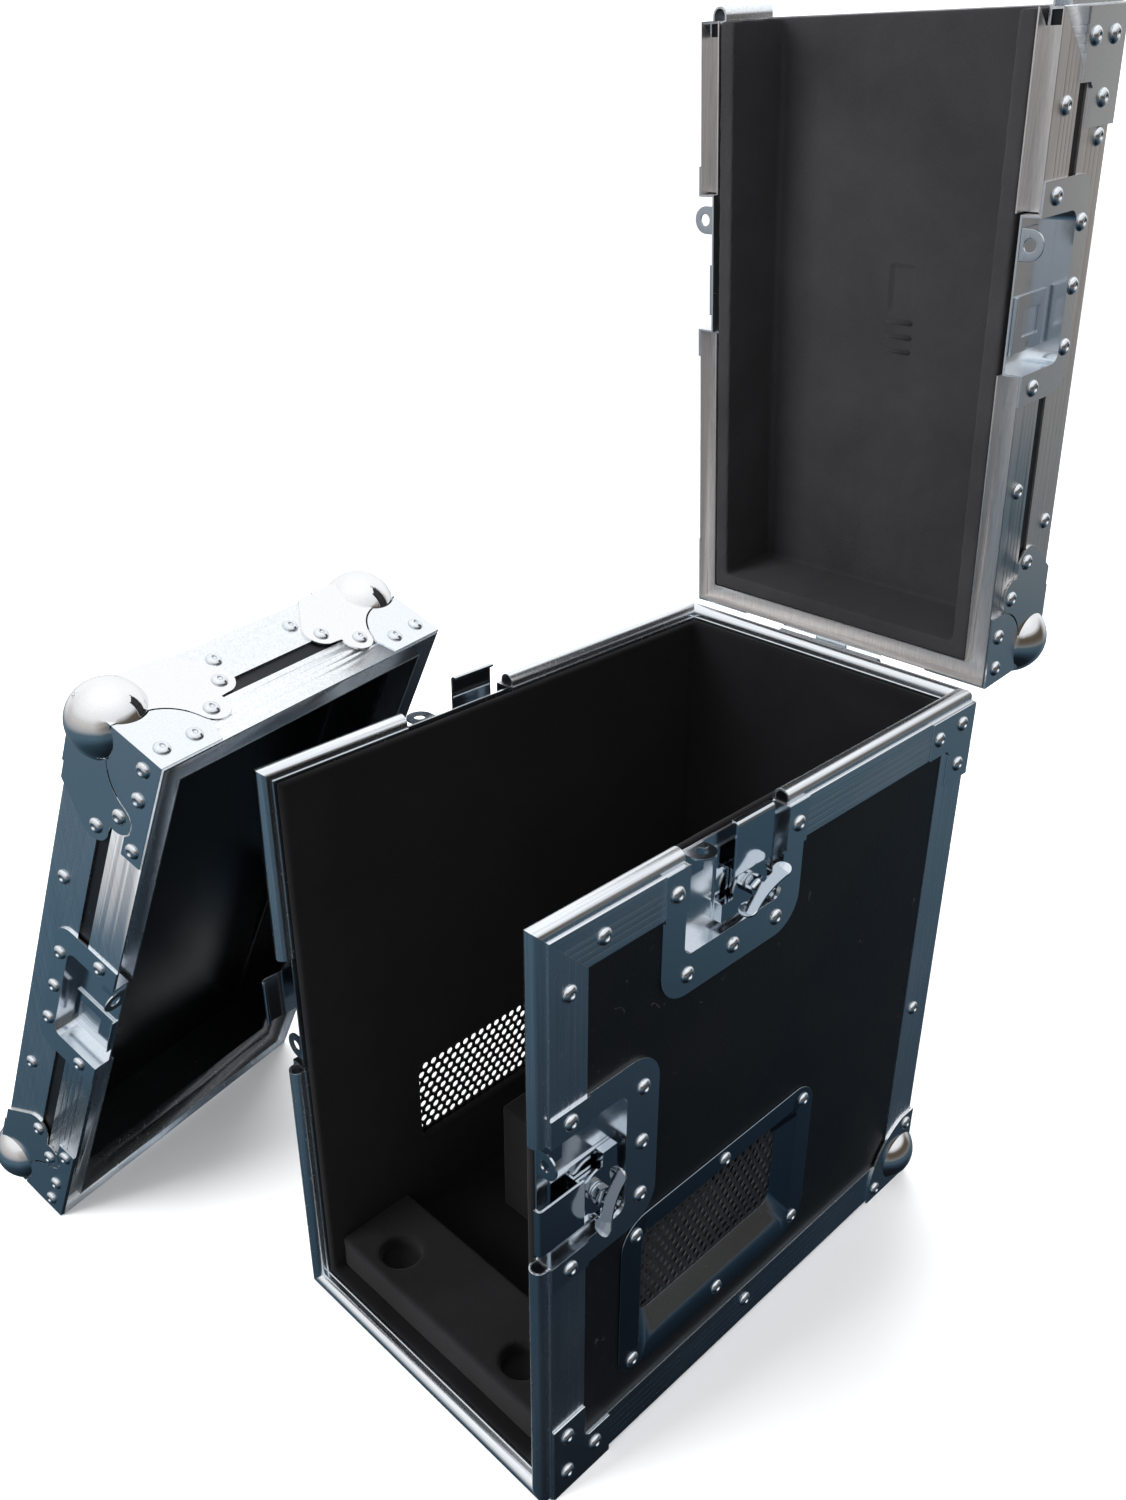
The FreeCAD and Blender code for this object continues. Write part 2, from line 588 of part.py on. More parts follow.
# ---------------------------------------------------------------- body
def make_panels():
    """Plywood walls of the body."""
    side = block((HW - PLY_IN, -HD + SKIN, SKIN), (HW - SKIN, HD - SKIN, CASE_H - SKIN))
    mouth = (MESH_SIZE[0] / 2.0 + 0.5, MESH_SIZE[1] / 2.0 + 0.5)
    side = side.cut(block((0, VENT_Y - mouth[0], VENT_Z - mouth[1]),
                          (HW, VENT_Y + mouth[0], VENT_Z + mouth[1])))
    half = RECESS_HALF + PAN_ROOM
    deep = RECESS_DEEP + PAN_ROOM
    side = side.cut(block((0, LATCH_Y - half, CASE_H - deep), (HW, LATCH_Y + half, CASE_H)))
    side = side.cut(block((0, -HD, LATCH_Z - half), (HW, -HD + deep, LATCH_Z + half)))
    keep("panel_right", [side])
    keep("panel_left", [mirror_x(side)])
    keep("panel_back", [block((-HW + PLY_IN, HD - PLY_IN, SKIN), (HW - PLY_IN, HD - SKIN, CASE_H - SKIN))])
    bottom = block((-HW + PLY_IN, -HD + SKIN, SKIN), (HW - PLY_IN, HD - PLY_IN, PLY_IN))
    skid = block((-HW + ANGLE, -HD + FLANGE, 0.0), (HW - ANGLE, HD - ANGLE, SKIN))
    keep("panel_bottom", [bottom.fuse(skid).removeSplitter()])


def make_lining():
    """Foam sheets glued inside the body, and two foam blocks that hold the equipment."""
    gap = 0.1
    inner = HW - LINING_IN
    floor = PLY_IN + FOAM
    side = block((inner, -HD + 0.5, floor + gap), (HW - PLY_IN - gap, HD - PLY_IN - gap, CASE_H - 0.5))
    side = side.cut(block((HW - RIM_IN - gap, -REACH * 2, CASE_H - INNER_FLANGE - gap),
                          (HW, REACH * 2, REACH * 3)))
    side = side.cut(block((HW - RIM_IN - gap, -REACH * 2, 0), (HW, -HD + INNER_FLANGE + gap, REACH * 3)))
    side = side.cut(block((0, HD - RIM_IN - gap, CASE_H - INNER_FLANGE - gap), (HW, HD, CASE_H)))
    window = face_from(round_rect(VENT_FLOOR[0] / 2.0, VENT_FLOOR[1] / 2.0, 5.0), "yz", 0.0)
    window.translate(V(0, VENT_Y, VENT_Z + 1.0))
    side = side.cut(window.extrude(V(HW, 0, 0)))
    back = block((-inner + gap, HD - LINING_IN, floor + gap), (inner - gap, HD - PLY_IN - gap, CASE_H - 0.5))
    back = back.cut(block((-HW, HD - RIM_IN - gap, CASE_H - INNER_FLANGE - gap), (HW, HD, CASE_H)))
    bottom = block((-HW + PLY_IN + gap, -HD + 0.5, PLY_IN + gap),
                   (HW - PLY_IN - gap, HD - LINING_IN - gap, floor))
    bottom = bottom.cut(block((-HW, -HD, 0), (HW, -HD + INNER_FLANGE + gap, RIM_IN + gap)))
    bottom = bottom.cut(block((-HW, -HD, 0), (-HW + RIM_IN + gap, -HD + INNER_FLANGE + gap, REACH)))
    bottom = bottom.cut(block((HW - RIM_IN - gap, -HD, 0), (HW, -HD + INNER_FLANGE + gap, REACH)))
    keep("lining_body", [side, mirror_x(side), back, bottom])

    half = inner - 0.5
    front = block((-half, -HD + 9.0, floor + 0.2), (half, -HD + 63.0, floor + 24.0))
    for x in (-56.0, 56.0):
        recess = Part.makeCylinder(13.0, 30.0, V(x, -HD + 29.0, floor + 12.0))
        front = front.cut(recess)
    keep("foam_block_front", [front])
    rear = block((-57.0, -60.0, floor + 0.2), (half, -12.0, 103.0))
    keep("foam_block_rear", [rear])


def make_body_rails():
    """Rim extrusions and edge angles of the body."""
    top_gap = (LATCH_Y + HD, RAIL_GAP)
    front_gap = (LATCH_Z, RAIL_GAP)
    top = put(rail(MALE, CASE_D, "rim", "wall", top_gap), V(HW, -HD, CASE_H), -X, Z)
    front = put(rail(MALE, CASE_H, "wall", "rim", front_gap), V(HW, -HD, 0), -X, -Y)
    keep("rail_top_right", [top])
    keep("rail_top_left", [mirror_x(top)])
    keep("rail_front_right", [front])
    keep("rail_front_left", [mirror_x(front)])
    keep("rail_top_back", [put(rail(MALE, CASE_W, "wall", "wall"), V(HW, HD, CASE_H), -Y, Z)])
    keep("rail_front_bottom", [put(rail(MALE, CASE_W, "wall", "wall"), V(-HW, -HD, 0), Z, -Y)])
    upright = put(rail(CORNER_ANGLE, CASE_H - FLANGE - ANGLE, "square", "square"), V(HW, HD, ANGLE), -X, -Y)
    keep("angles_rear", [upright, mirror_x(upright)])
    lower = put(rail(CORNER_ANGLE, CASE_D - FLANGE, "square", "square"), V(HW, -HD + FLANGE, 0), -X, Z)
    across = put(rail(CORNER_ANGLE, CASE_W - 2 * ANGLE, "square", "square"), V(HW - ANGLE, HD, 0), -Y, Z)
    return lower, across


def make_vents():
    """Recessed vent dishes with perforated plates behind them."""
    flange = face_from(round_rect(VENT_FLANGE[0] / 2.0, VENT_FLANGE[1] / 2.0, 18.0), "yz", 0.3)
    flange = flange.extrude(V(SHEET, 0, 0))

    def ring(mouth, floor, low, high):
        wires = []
        for size, level, shift in ((mouth, low, 0.0), (floor, high, 1.0)):
            wire = face_from(round_rect(size[0] / 2.0, size[1] / 2.0, 7.0), "yz", level).OuterWire
            wire.translate(V(0, 0, shift))
            wires.append(wire)
        return Part.makeLoft(wires, True, True)

    grown = 2 * SHEET
    outer = ring((VENT_MOUTH[0] + grown, VENT_MOUTH[1] + grown),
                 (VENT_FLOOR[0] + grown, VENT_FLOOR[1] + grown), 0.3, 9.4)
    inner = ring(VENT_MOUTH, VENT_FLOOR, 0.2, 9.5)
    dish = flange.fuse(outer).cut(inner).removeSplitter()
    # local x is the depth into the wall, local y along the case, local z up
    right = dish.mirror(V(0, 0, 0), X)
    right.translate(V(HW, VENT_Y, VENT_Z))
    keep("vent_dishes", [right, mirror_x(right)])

    holes = []
    rows = int((VENT_FLOOR[1] + 14.0) / (MESH_PITCH * math.sqrt(0.75)))
    columns = int((VENT_FLOOR[0] + 10.0) / MESH_PITCH)
    for row in range(rows):
        z = (row - (rows - 1) / 2.0) * MESH_PITCH * math.sqrt(0.75) + 1.0
        shift = MESH_PITCH / 2.0 if row % 2 else 0.0
        for column in range(columns):
            y = (column - (columns - 1) / 2.0) * MESH_PITCH + shift
            circle = Part.makeCircle(MESH_HOLE_R, V(0, y, z), X)
            holes.append(Part.Wire([circle]))
    sheet = face_from(round_rect(MESH_SIZE[0] / 2.0, MESH_SIZE[1] / 2.0, 3.0), "yz", 0.0)
    drilled = Part.Face([sheet.OuterWire] + holes)
    drilled.validate()
    mesh = drilled.extrude(V(1.0, 0, 0))
    mesh.translate(V(HW - PLY_IN, VENT_Y, VENT_Z))
    keep("vent_meshes", [mesh, mirror_x(mesh)])


def make_body_corners(lower, across):
    """Ball corners and plates of the body. The angles stop where a ball corner's foot lies."""
    case = block((-HW, -HD, 0), (HW, HD, CASE_H))
    corner = V(HW, HD, 0)
    side = corner_plate(TALL_OUTLINE, Z, -Y, X, corner)
    rear = corner_plate(TALL_OUTLINE, Z, -X, Y, corner)
    globe = ball(corner, V(-1, -1, 1), (BALL_IN, BALL_IN, BALL_R), case)
    edge = block((HW, HD, 0), (HW + SHEET, HD + SHEET, TALL_BAR))
    right = side.fuse([rear, globe, edge]).removeSplitter()
    keep("ball_corners_body", [right, mirror_x(right)])
    keep("angles_bottom", [lower, mirror_x(lower), across])

    front = corner_plate(l_plate(44.0, 56.0, 24.0, 30.0), Y, Z, X, V(HW, -HD + 1.0, 0))
    keep("plates_front_bottom", [front, mirror_x(front)])
    outline = l_plate(46.0, 48.0, 24.0, 24.0)
    side_top = corner_plate(outline, -Y, -Z, X, V(HW, HD, CASE_H - 1.0))
    rear_top = corner_plate(outline, -X, -Z, Y, V(HW, HD, CASE_H - 1.0))
    fold = block((HW, HD, CASE_H - 49.0), (HW + SHEET, HD + SHEET, CASE_H - 1.0))
    top = side_top.fuse([rear_top, fold]).removeSplitter()
    keep("plates_rear_top", [top, mirror_x(top)])


def make_hinge():
    """Two leaves with knuckles on one pin behind the rim."""
    axis_at = V(0, HINGE_Y, HINGE_Z)

    def knuckle(low, high, bore):
        outer = cylinder(KNUCKLE_R, V(low, axis_at.y, axis_at.z), V(high, axis_at.y, axis_at.z))
        return outer, cylinder(bore, V(low - 1, axis_at.y, axis_at.z), V(high + 1, axis_at.y, axis_at.z))

    body_leaf = block((-HINGE_HALF, HD, CASE_H - 22.0), (HINGE_HALF, HD + SKIN, CASE_H - 2.0))
    body_parts = [body_leaf]
    bores = []
    for low, high in ((-HINGE_HALF, -12.2), (12.2, HINGE_HALF)):
        outer, bore = knuckle(low, high, PIN_R + 0.02)
        web = block((low, HD, HINGE_Z - KNUCKLE_R), (high, HINGE_Y, HINGE_Z - KNUCKLE_R + SKIN))
        body_parts += [outer, web]
        bores.append(bore)
    leaf = body_parts[0].fuse(body_parts[1:]).cut(bores)
    relief = block((-12.2, HD + SKIN, HINGE_Z - KNUCKLE_R - 0.5), (12.2, HINGE_Y + 6, HINGE_Z + 6))
    keep("hinge_leaf_body", [leaf.cut(relief).removeSplitter()])
    keep("hinge_pin", [cylinder(PIN_R, V(-HINGE_HALF - 1.5, axis_at.y, axis_at.z),
                                V(HINGE_HALF + 1.5, axis_at.y, axis_at.z))])

    outer, bore = knuckle(-11.8, 11.8, PIN_R + 0.05)
    plate_up = block((-HINGE_HALF, HD, LID_Z + 1.5), (HINGE_HALF, HD + SKIN, LID_Z + 22.0))
    web = block((-11.8, HD, LID_Z + 1.5), (11.8, HINGE_Y, LID_Z + 1.5 + SKIN))
    return plate_up.fuse([outer, web]).cut(bore).removeSplitter()


def local_rivets(positions, origin, u, v, level):
    """Rivets at (v, w) positions of a wall's frame; level is u of the surface they stand on."""
    return [rivet_at(put_point((level, pv, pw), origin, u, v), -u) for pv, pw in positions]


DISH_RIVETS = [(-66.0, -36.0), (-66.0, 0.0), (-66.0, 36.0)]
DISH_TOP_RIVETS = [(-13.0, -48.0), (-13.0, 48.0)]
KEEPER_DISH_RIVETS = [(-44.0, -32.0), (-44.0, 0.0), (-44.0, 32.0)] + DISH_TOP_RIVETS
CORNER_RIVETS = [(69.7, 30.0), (50.8, 44.0), (29.8, 54.0), (9.0, 53.0)]   # along, in from the outer face


def make_body_rivets():
    """All rivet heads of the body."""
    heads = []
    for (origin, u, v, _side), _turn, _raised in LATCHES.values():
        heads += local_rivets(DISH_RIVETS, origin, u, v, SKIN - SHEET)
        heads += local_rivets(DISH_TOP_RIVETS, origin, u, v, -SHEET)
    right = []
    vent_y = VENT_FLANGE[0] / 2.0 - 8.0
    vent_z = VENT_FLANGE[1] / 2.0 - 8.0
    for y, z in ((-vent_y + 3, vent_z - 3), (0, vent_z), (vent_y - 3, vent_z - 3),
                 (-vent_y + 3, -vent_z + 3), (0, -vent_z), (vent_y - 3, -vent_z + 3)):
        right.append(((HW - 0.3, VENT_Y + y, VENT_Z + z), X))
    for y, z in ((-HD + 35.0, CASE_H - 13.0), (-HD + 13.0, CASE_H - 33.0), (-8.0, 19.0), (158.0, 156.0)):
        right.append(((HW, y, z), X))
    for y, z in ((-HD + 11.0, 45.0), (-HD + 33.0, 19.0), (-HD + 11.0, 16.0),
                 (HD - 38.0, CASE_H - 13.0), (HD - 13.0, CASE_H - 11.0), (HD - 12.0, CASE_H - 38.0)):
        right.append(((HW + SHEET, y, z), X))
    for y, z in ((HD - 39.0, 9.0), (HD - 7.5, 49.0)):
        right.append(((HW + SHEET, y, z), X))
    for x, z in ((HW - 13.0, CASE_H - 11.0), (HW - 38.0, CASE_H - 13.0), (HW - 12.0, CASE_H - 38.0),
                 (HW - 39.0, 9.0), (HW - 7.5, 49.0)):
        right.append(((x, HD + SHEET, z), Y))
    for x, z in ((HW - 15.0, 156.0), (HW - 15.0, 262.0), (20.0, 17.0)):
        right.append(((x, HD, z), Y))
    right.append(((28.0, HD + SKIN, CASE_H - 13.0), Y))
    for point, normal in right:
        heads.append(rivet_at(V(*point), normal))
        heads.append(rivet_at(V(-point[0], point[1], point[2]), V(-normal.x, normal.y, normal.z)))
    keep("rivets_body", heads)


# ---------------------------------------------------------------- lid, built closed and then swung open
def swing(shape):
    """Swing a closed lid piece open about the hinge."""
    opened = shape.copy()
    opened.rotate(V(0, HINGE_Y, HINGE_Z), X, -LID_OPEN_DEG)
    return opened


def keep_lid(name, shapes):
    """Store lid pieces in their open position."""
    keep(name, [swing(shape) for shape in shapes])


def make_lid(hinge_leaf):
    """The lid: top panel, three walls, a grooved rim and a beaded front edge."""
    z0 = LID_Z
    z1 = LID_TOP
    gap = 0.1
    top_in = z1 - PLY_IN
    keep_lid("lid_panel_top", [block((-HW + SKIN, -HD + SKIN, top_in), (HW - SKIN, HD - SKIN, z1 - SKIN))])
    half = RAIL_GAP
    wall = block((HW - PLY_IN, -HD + SKIN, z0 + GROOVE_FLOOR), (HW - SKIN, HD - SKIN, top_in))
    wall = wall.cut(block((0, LATCH_Y - half, z0), (HW, LATCH_Y + half, z0 + KEEPER_RECESS_DEEP + PAN_ROOM)))
    rear = block((-HW + PLY_IN, HD - PLY_IN, z0 + GROOVE_FLOOR), (HW - PLY_IN, HD - SKIN, top_in))
    keep_lid("lid_walls", [wall, mirror_x(wall), rear])

    side_in = HW - GROOVE_IN - LID_FOAM
    top_sheet = block((-HW + PLY_IN + gap, -HD + 0.5, top_in - FOAM),
                      (HW - PLY_IN - gap, HD - PLY_IN - gap, top_in - gap))
    top_sheet = top_sheet.cut(block((-HW, -HD, top_in - 2.0), (HW, -HD + INNER_FLANGE + gap, z1)))
    for s in (-1, 1):
        low, high = sorted((s * (HW - RIM_IN - gap), s * HW))
        top_sheet = top_sheet.cut(block((low, -HD, 0), (high, -HD + INNER_FLANGE + gap, REACH * 4)))
    side = block((side_in, -HD + 0.5, z0 + 0.5), (HW - PLY_IN - gap, HD - PLY_IN - gap, top_in - FOAM - gap))
    side = side.cut(block((HW - GROOVE_IN - gap, -HD, z0), (HW, HD, z0 + GROOVE_FLOOR + gap)))
    side = side.cut(block((HW - RIM_IN - gap, -HD, z0), (HW, HD, z0 + 17.0 + gap)))
    side = side.cut(block((HW - RIM_IN - gap, -HD, z0), (HW, -HD + INNER_FLANGE + gap, z1)))
    side = side.cut(block((0, HD - GROOVE_IN - gap, z0), (HW, HD, z0 + GROOVE_FLOOR + gap)))
    side = side.cut(block((0, HD - RIM_IN - gap, z0), (HW, HD, z0 + 17.0 + gap)))
    rear_in = HD - GROOVE_IN - LID_FOAM
    rear_sheet = block((-side_in + gap, rear_in, z0 + 0.5),
                       (side_in - gap, HD - PLY_IN - gap, top_in - FOAM - gap))
    rear_sheet = rear_sheet.cut(block((-HW, HD - GROOVE_IN - gap, z0), (HW, HD, z0 + GROOVE_FLOOR + gap)))
    rear_sheet = rear_sheet.cut(block((-HW, HD - RIM_IN - gap, z0), (HW, HD, z0 + 17.0 + gap)))
    keep_lid("lid_lining", [top_sheet, side, mirror_x(side), rear_sheet])

    gap_at = (HD - LATCH_Y, RAIL_GAP)
    side_rail = put(rail(FEMALE, CASE_D, "wall", "rim", gap_at), V(HW, HD, z0), -X, -Z)
    rear_rail = put(rail(FEMALE, CASE_W, "wall", "wall"), V(-HW, HD, z0), -Y, -Z)
    keep_lid("lid_rim_rails", [side_rail, mirror_x(side_rail), rear_rail])
    front_side = rail(MALE, LID_H, "rim", "wall")
    front_side = front_side.cut(block((-9, 0.0, -REACH), (30, 30, GROOVE_FLOOR)))
    front_side = front_side.cut(block((GROOVE_FROM, -INNER_FLANGE - 1.0, -REACH),
                                      (GROOVE_TO, 30, GROOVE_DEEP)))
    front_side = put(front_side, V(HW, -HD, z0), -X, -Y)
    front_top = put(rail(PLAIN, CASE_W, "wall", "wall"), V(HW, -HD, z1), -Z, -Y)
    keep_lid("lid_front_rails", [front_side, mirror_x(front_side), front_top])

    recess = block((0, LATCH_Y - half, 0), (HW + 5, LATCH_Y + half, z0 + KEEPER_RECESS_DEEP + PAN_ROOM))
    side_angle = rail(CORNER_ANGLE, CASE_D - FLANGE, "square", "square")
    side_angle = put(side_angle, V(HW, HD, z1), -X, -Z).cut(recess)
    rear_angle = rail(CORNER_ANGLE, CASE_W - 2 * ANGLE, "square", "square")
    rear_angle = put(rear_angle, V(-HW + ANGLE, HD, z1), -Y, -Z)
    keep_lid("lid_angles", [side_angle, mirror_x(side_angle), rear_angle])

    dishes = []
    keepers = []
    for u, side_sign in ((-X, -1), (X, 1)):
        origin = V(-u.x * HW, LATCH_Y, z0)
        dishes.append(put(keeper_dish(), origin, u, -Z))
        keepers.append(put(keeper(side_sign), origin, u, -Z))
        keepers.append(put(padlock_eye(side_sign), origin, u, -Z))
    keep_lid("lid_keeper_dishes", dishes)
    keep_lid("lid_keepers", keepers)

    case = block((-HW, -HD, z0), (HW, HD, z1))
    corner = V(HW, HD, z1)
    globe = tray_ball_corner(corner, -X, -Y, -Z, case)
    keep_lid("lid_ball_corners", [globe, mirror_x(globe)])
    bracket = rim_bracket(corner, -X, -Y, -Z, LID_H, 44.0)
    outline = l_plate(54.0, 39.0, 33.0, 27.0)
    front_plate = corner_plate(outline, Y, -Z, X, V(HW, -HD + 1.0, z1))
    front_cap = corner_plate(outline, Y, -X, Z, V(HW, -HD + 1.0, z1))
    fold = block((HW, -HD + 1.0, z1), (HW + SHEET, -HD + 55.0, z1 + SHEET))
    front = front_plate.fuse([front_cap, fold]).removeSplitter()
    keep_lid("lid_corner_plates", [bracket, mirror_x(bracket), front, mirror_x(front)])
    keep_lid("hinge_leaf_lid", [hinge_leaf])

    heads = []
    for u in (-X, X):
        origin = V(-u.x * HW, LATCH_Y, z0)
        heads += local_rivets(KEEPER_DISH_RIVETS, origin, u, -Z, -SHEET)
    right = []
    for along, deep_in in CORNER_RIVETS:
        right.append(((HW + SHEET, HD - along, z1 - deep_in), X))
        right.append(((HW - along, HD + SHEET, z1 - deep_in), Y))
    for y, z in ((-HD + 14.0, z1 - 11.0), (-HD + 42.0, z1 - 15.0), (-HD + 14.0, z1 - 31.0)):
        right.append(((HW + SHEET, y, z), X))
    for y, z in ((-HD + 43.0, z0 + 13.0), (60.0, z0 + 13.0), (88.0, z1 - 12.0), (-118.0, z1 - 12.0)):
        right.append(((HW, y, z), X))
    right.append(((24.0, HD, z1 - 14.0), Y))
    right.append(((28.0, HD + SKIN, z0 + 12.5), Y))
    for x, y in ((HW - 36.0, HD - 10.0), (HW - 10.0, HD - 36.0), (HW - 11.0, -HD + 14.0),
                 (HW - 15.0, -HD + 42.0), (HW - 31.0, -HD + 14.0)):
        right.append(((x, y, z1 + SHEET), Z))
    for x, y in ((HW - 15.0, 60.0), (HW - 15.0, -80.0), (30.0, HD - 15.0), (30.0, -HD + 12.5)):
        right.append(((x, y, z1), Z))
    for point, normal in right:
        heads.append(rivet_at(V(*point), normal))
        heads.append(rivet_at(V(-point[0], point[1], point[2]), V(-normal.x, normal.y, normal.z)))
    keep_lid("lid_rivets", heads)


# ---------------------------------------------------------------- cover, built closed and then leaned
def leaning_axes():
    """Directions of the leaning cover's own width, outward normal and height."""
    yaw = math.radians(COVER_YAW_DEG)
    lean = math.radians(COVER_LEAN_DEG)
    along = V(math.sin(yaw), math.cos(yaw), 0)
    across = V(math.cos(yaw), -math.sin(yaw), 0)
    up = across * math.sin(lean) + Z * math.cos(lean)
    outward = across * -math.cos(lean) + Z * math.sin(lean)
    return along, outward, up


def lean(shape, lift):
    """Take a closed cover piece to where it leans on the case."""
    along, outward, up = leaning_axes()
    ax, ay, az = -along, -outward, up
    foot = COVER_FOOT + V(0, 0, lift)
    shift = foot - ax * HW - ay * COVER_Y
    matrix = FreeCAD.Matrix(ax.x, ay.x, az.x, shift.x,
                            ax.y, ay.y, az.y, shift.y,
                            ax.z, ay.z, az.z, shift.z,
                            0, 0, 0, 1)
    moved = shape.copy()
    moved.transformShape(matrix, True)
    return moved


def cover_pieces():
    """Every cover node in its closed position."""
    y0 = COVER_Y
    y1 = COVER_Y - COVER_D
    h = COVER_H
    pieces = {}
    face_in = y1 + PLY_IN
    half = RAIL_GAP
    deep = KEEPER_RECESS_DEEP + PAN_ROOM
    recess = block((0, y0 - deep, LATCH_Z - half), (HW + 5, 0, LATCH_Z + half))
    pieces["cover_panel_face"] = [block((-HW + SKIN, y1 + SKIN, SKIN), (HW - SKIN, face_in, h - SKIN))]
    side = block((HW - PLY_IN, face_in, SKIN), (HW - SKIN, y0 - GROOVE_FLOOR, h - SKIN)).cut(recess)
    ends = [block((-HW + PLY_IN, face_in, low), (HW - PLY_IN, y0 - GROOVE_FLOOR, low + PLY))
            for low in (SKIN, h - PLY_IN)]
    pieces["cover_walls"] = [side, mirror_x(side)] + ends
    lining = 4.0
    inset = PLY_IN + 0.1
    sheet = block((-HW + inset, face_in + 0.1, inset), (HW - inset, face_in + lining, h - inset))
    strip = block((HW - inset - 1.3, face_in + lining + 0.1, inset), (HW - inset, y0 - 17.1, h - inset))
    strip = strip.cut(recess)
    pieces["cover_lining"] = [sheet, strip, mirror_x(strip)]
    gap_at = (COVER_H - LATCH_Z, RAIL_GAP)
    side_rail = put(rail(FEMALE, h, "wall", "wall", gap_at), V(HW, y0, h), -X, Y)
    top_rail = put(rail(FEMALE, CASE_W, "wall", "wall"), V(-HW, y0, h), -Z, Y)
    bottom_rail = put(rail(FEMALE, CASE_W, "wall", "wall"), V(HW, y0, 0), Z, Y)
    pieces["cover_rim_rails"] = [side_rail, mirror_x(side_rail), top_rail, bottom_rail]
    side_angle = put(rail(CORNER_ANGLE, h, "square", "square"), V(HW, y1, h), -X, Y).cut(recess)
    top_angle = put(rail(CORNER_ANGLE, CASE_W - 2 * ANGLE, "square", "square"), V(-HW + ANGLE, y1, h), -Z, Y)
    bottom_angle = put(rail(CORNER_ANGLE, CASE_W - 2 * ANGLE, "square", "square"), V(HW - ANGLE, y1, 0), Z, Y)
    pieces["cover_angles"] = [side_angle, mirror_x(side_angle), top_angle, bottom_angle]
    pieces["cover_keeper_dishes"] = []
    pieces["cover_keepers"] = []
    for u in (-X, X):
        origin = V(-u.x * HW, y0, LATCH_Z)
        pieces["cover_keeper_dishes"].append(put(keeper_dish(), origin, u, Y))
        pieces["cover_keepers"].append(put(keeper(1), origin, u, Y))
        pieces["cover_keepers"].append(put(padlock_eye(1), origin, u, Y))
    case = block((-HW, y1, 0), (HW, y0, h))
    corners = []
    brackets = []
    for z, up in ((0.0, Z), (h, -Z)):
        globe = tray_ball_corner(V(HW, y1, z), -X, up, Y, case)
        bracket = rim_bracket(V(HW, y1, z), -X, up, Y, COVER_D, 74.0)
        corners += [globe, mirror_x(globe)]
        brackets += [bracket, mirror_x(bracket)]
    pieces["cover_ball_corners"] = corners
    pieces["cover_corner_plates"] = brackets

    heads = []
    for u in (-X, X):
        heads += local_rivets(KEEPER_DISH_RIVETS, V(-u.x * HW, y0, LATCH_Z), u, Y, -SHEET)
    points = []
    for end, sign in ((0.0, 1.0), (h, -1.0)):
        for along, deep_in in CORNER_RIVETS:
            points.append(((HW + SHEET, y1 + deep_in, end + sign * along), X))
            points.append(((HW - along, y1 + deep_in, end - sign * SHEET), Z * -sign))
        points.append(((HW + SHEET, y1 + 57.0, end + sign * 66.0), X))
        points.append(((HW, y1 + 13.0, end + sign * 128.0), X))
        points.append(((30.0, y1 + 15.0, end), Z * -sign))
        points.append(((HW - 36.0, y1 - SHEET, end + sign * 10.0), -Y))
        points.append(((HW - 10.0, y1 - SHEET, end + sign * 36.0), -Y))
        points.append(((HW - 15.0, y1, end + sign * 128.0), -Y))
        points.append(((35.0, y1, end + sign * 15.0), -Y))
    for point, normal in points:
        heads.append(rivet_at(V(*point), normal))
        heads.append(rivet_at(V(-point[0], point[1], point[2]), V(-normal.x, normal.y, normal.z)))
    pieces["cover_rivets"] = heads
    return pieces


def make_cover():
    """Lean the finished cover so that its lowest point is just clear of the floor."""
    pieces = cover_pieces()
    everything = Part.makeCompound([lean(shape, 0.0) for shapes in pieces.values() for shape in shapes])
    lift = FLOOR_GAP - everything.optimalBoundingBox(False).ZMin
    for name, shapes in pieces.items():
        keep(name, [lean(shape, lift) for shape in shapes])
    return lift


# ---------------------------------------------------------------- build and export
make_panels()
make_lining()
bottom_angle, rear_bottom_angle = make_body_rails()
make_vents()
make_body_corners(bottom_angle, rear_bottom_angle)
make_latches()
make_body_rivets()
make_lid(make_hinge())
cover_lift = make_cover()

os.makedirs("parts", exist_ok=True)
for node_name, shape in nodes.items():
    shape.exportStep("parts/" + node_name + ".step")
print(len(nodes), "nodes, cover lifted by", round(cover_lift, 3))
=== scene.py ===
import math

import bmesh
import bpy
from mathutils import Euler, Matrix, Vector, noise


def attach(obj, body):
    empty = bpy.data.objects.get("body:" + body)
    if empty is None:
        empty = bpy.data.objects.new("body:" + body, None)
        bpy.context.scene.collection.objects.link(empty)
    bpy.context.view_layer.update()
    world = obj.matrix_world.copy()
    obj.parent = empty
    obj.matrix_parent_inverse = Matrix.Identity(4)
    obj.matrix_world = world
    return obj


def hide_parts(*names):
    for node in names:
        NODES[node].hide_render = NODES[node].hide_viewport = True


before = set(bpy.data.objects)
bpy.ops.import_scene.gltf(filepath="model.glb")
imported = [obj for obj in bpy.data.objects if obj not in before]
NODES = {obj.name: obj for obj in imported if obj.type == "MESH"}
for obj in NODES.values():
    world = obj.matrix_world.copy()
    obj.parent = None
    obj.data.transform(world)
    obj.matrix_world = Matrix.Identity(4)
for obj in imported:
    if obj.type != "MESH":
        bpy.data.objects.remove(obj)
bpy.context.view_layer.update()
MM = 0.001
FLOOR_HALF = 9.0
WELD_DISTANCE = 0.00002

# the lid stands open by this angle about its hinge
LID_OPEN = math.radians(86.0)
HINGE = Vector((0.0, 0.1846, 0.373))
LID_BACK = Matrix.Rotation(LID_OPEN, 3, "X")

